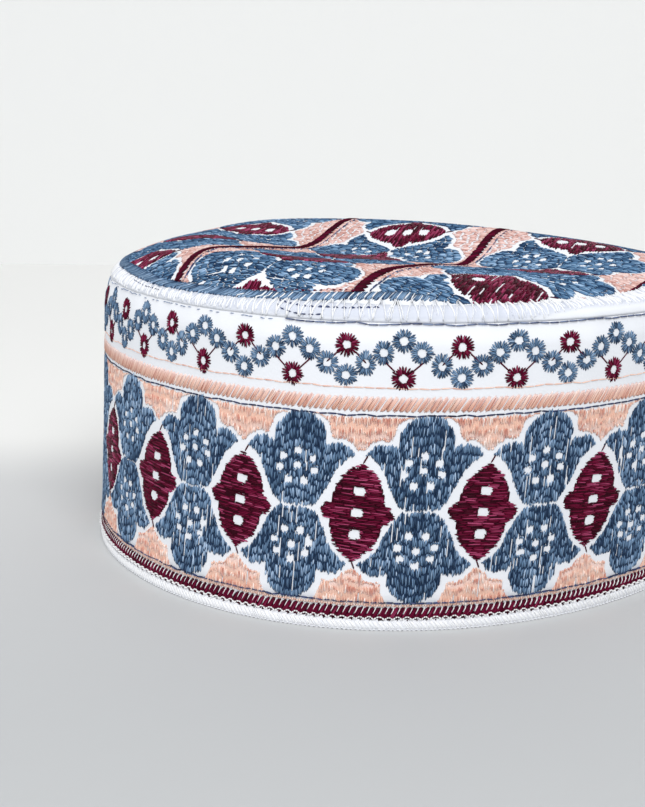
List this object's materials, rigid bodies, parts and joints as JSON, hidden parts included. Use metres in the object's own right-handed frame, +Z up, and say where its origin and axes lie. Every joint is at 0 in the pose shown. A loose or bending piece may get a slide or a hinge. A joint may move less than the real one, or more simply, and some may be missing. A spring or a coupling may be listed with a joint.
{
  "type": "embroidered prayer cap",
  "caption": "Round brimless prayer cap with an upright embroidered band and a soft slightly dented crown, open below.",
  "frame": {"origin": "middle of the cap's outline, on the surface that the hem stands on", "axes": "-Y the front seen in the picture; +Y to the back, along the cap's longest extent; +Z up to the crown"},
  "size_m": [0.185, 0.1856, 0.0918],
  "materials": {
    "white_cotton": "white plain-weave cotton with overlock thread",
    "embroidered_cotton": "white cotton covered with machine embroidery",
    "blue_thread": "dull blue embroidery thread with a soft sheen",
    "burgundy_thread": "dark red embroidery thread with a soft sheen",
    "peach_thread": "peach embroidery thread with a soft sheen",
    "white_thread": "white overlock thread",
    "navy_thread": "dark blue running stitch"
  },
  "bodies": {
    "root": {"hem": "white_cotton", "side_band": "embroidered_cotton", "crown_seam": "white_cotton", "top_panel": "embroidered_cotton"}
  },
  "joints": []
}
